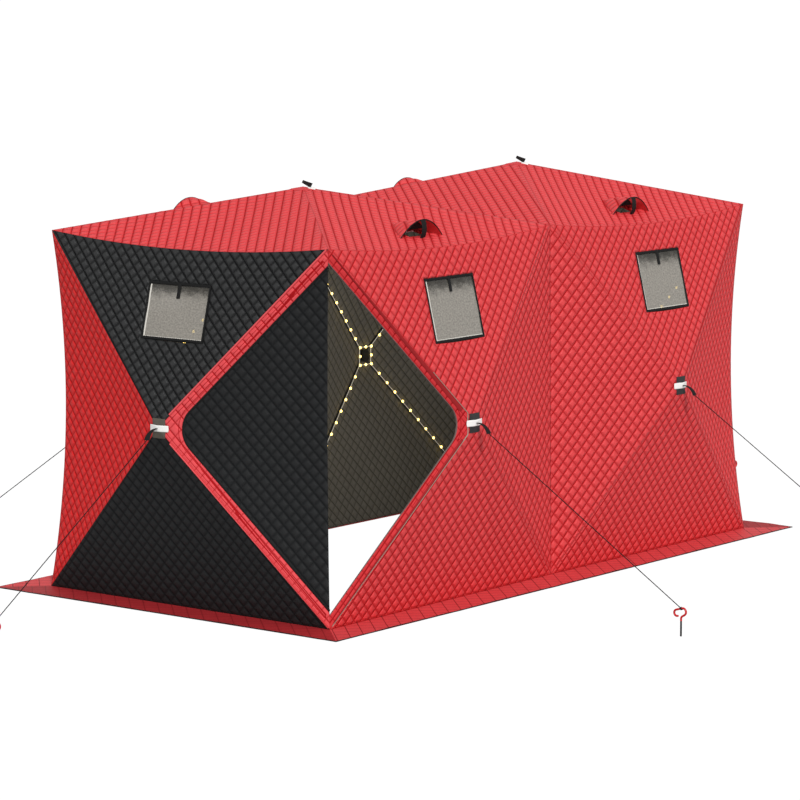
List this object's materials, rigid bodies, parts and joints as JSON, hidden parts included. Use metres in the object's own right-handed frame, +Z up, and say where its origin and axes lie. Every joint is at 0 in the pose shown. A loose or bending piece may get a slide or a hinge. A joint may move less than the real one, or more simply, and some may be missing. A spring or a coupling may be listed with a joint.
{
  "type": "pop-up ice fishing shelter",
  "caption": "Quilted cloth pop-up ice fishing shelter with hub-and-pole walls and roof, corner door, clear windows, hooded roof vents, ground skirt, guy ropes and stakes.",
  "frame": {"origin": "On the ground at the middle of the shelter, midway between the stakes on each side.", "axes": "+X runs along the two bays away from the door end, +Y points from the front long wall with the door to the back wall, +Z is up."},
  "size_m": [6.2776, 4.5976, 2.0614],
  "materials": {
    "red_quilt": "quilted woven polyester, matt with a slight sheen",
    "black_quilt": "quilted woven polyester, matt",
    "lining": "quilted lining cloth, matt",
    "skirt_cloth": "plain coated cloth",
    "clear_film": "clear film, slightly frosted",
    "black_webbing": "woven webbing",
    "pole_fibreglass": "drawn fibreglass rod",
    "hub_plastic": "moulded",
    "patch_cloth": "coated patch cloth",
    "white_plastic": "moulded",
    "rope": "braided cord",
    "stake_steel": "black oxide steel",
    "hook_plastic": "moulded sleeve",
    "wire_plastic": "thin insulated wire"
  },
  "bodies": {
    "root": {"near_end_upper_lower_panels": "black_quilt", "near_end_side_panel": "red_quilt", "far_end_upper_lower_panels": "black_quilt", "far_end_side_panels": "red_quilt", "front_bay_1_upper_lower_panels": "red_quilt", "front_bay_1_side_panel": "red_quilt", "front_bay_2_upper_lower_panels": "red_quilt", "front_bay_2_side_panels": "red_quilt", "back_bay_1_upper_lower_panels": "red_quilt", "back_bay_1_side_panels": "red_quilt", "back_bay_2_upper_lower_panels": "red_quilt", "back_bay_2_side_panels": "red_quilt", "roof_1_front_back_panels": "red_quilt", "roof_1_side_panels": "red_quilt", "roof_2_front_back_panels": "red_quilt", "roof_2_side_panels": "red_quilt", "door_band_end": "red_quilt", "door_band_front": "red_quilt", "door_flap": "black_quilt", "door_flap_folded": "lining", "front_skirt": "skirt_cloth", "back_skirt": "skirt_cloth", "near_end_skirt": "skirt_cloth", "far_end_skirt": "skirt_cloth", "window_panes": "clear_film", "window_borders": "black_webbing", "window_straps": "black_webbing", "vent_hoods": "red_quilt", "vent_props": "black_webbing", "near_end_poles": "pole_fibreglass", "far_end_poles": "pole_fibreglass", "front_bay_1_poles": "pole_fibreglass", "front_bay_2_poles": "pole_fibreglass", "back_bay_1_poles": "pole_fibreglass", "back_bay_2_poles": "pole_fibreglass", "roof_1_poles": "pole_fibreglass", "roof_2_poles": "pole_fibreglass", "hub_blocks": "hub_plastic", "hub_patches": "patch_cloth", "hub_plates": "white_plastic", "pull_straps": "black_webbing", "guy_ropes": "rope", "stake_shafts": "stake_steel", "stake_hooks": "hook_plastic", "light_strings": "wire_plastic"}
  },
  "joints": []
}
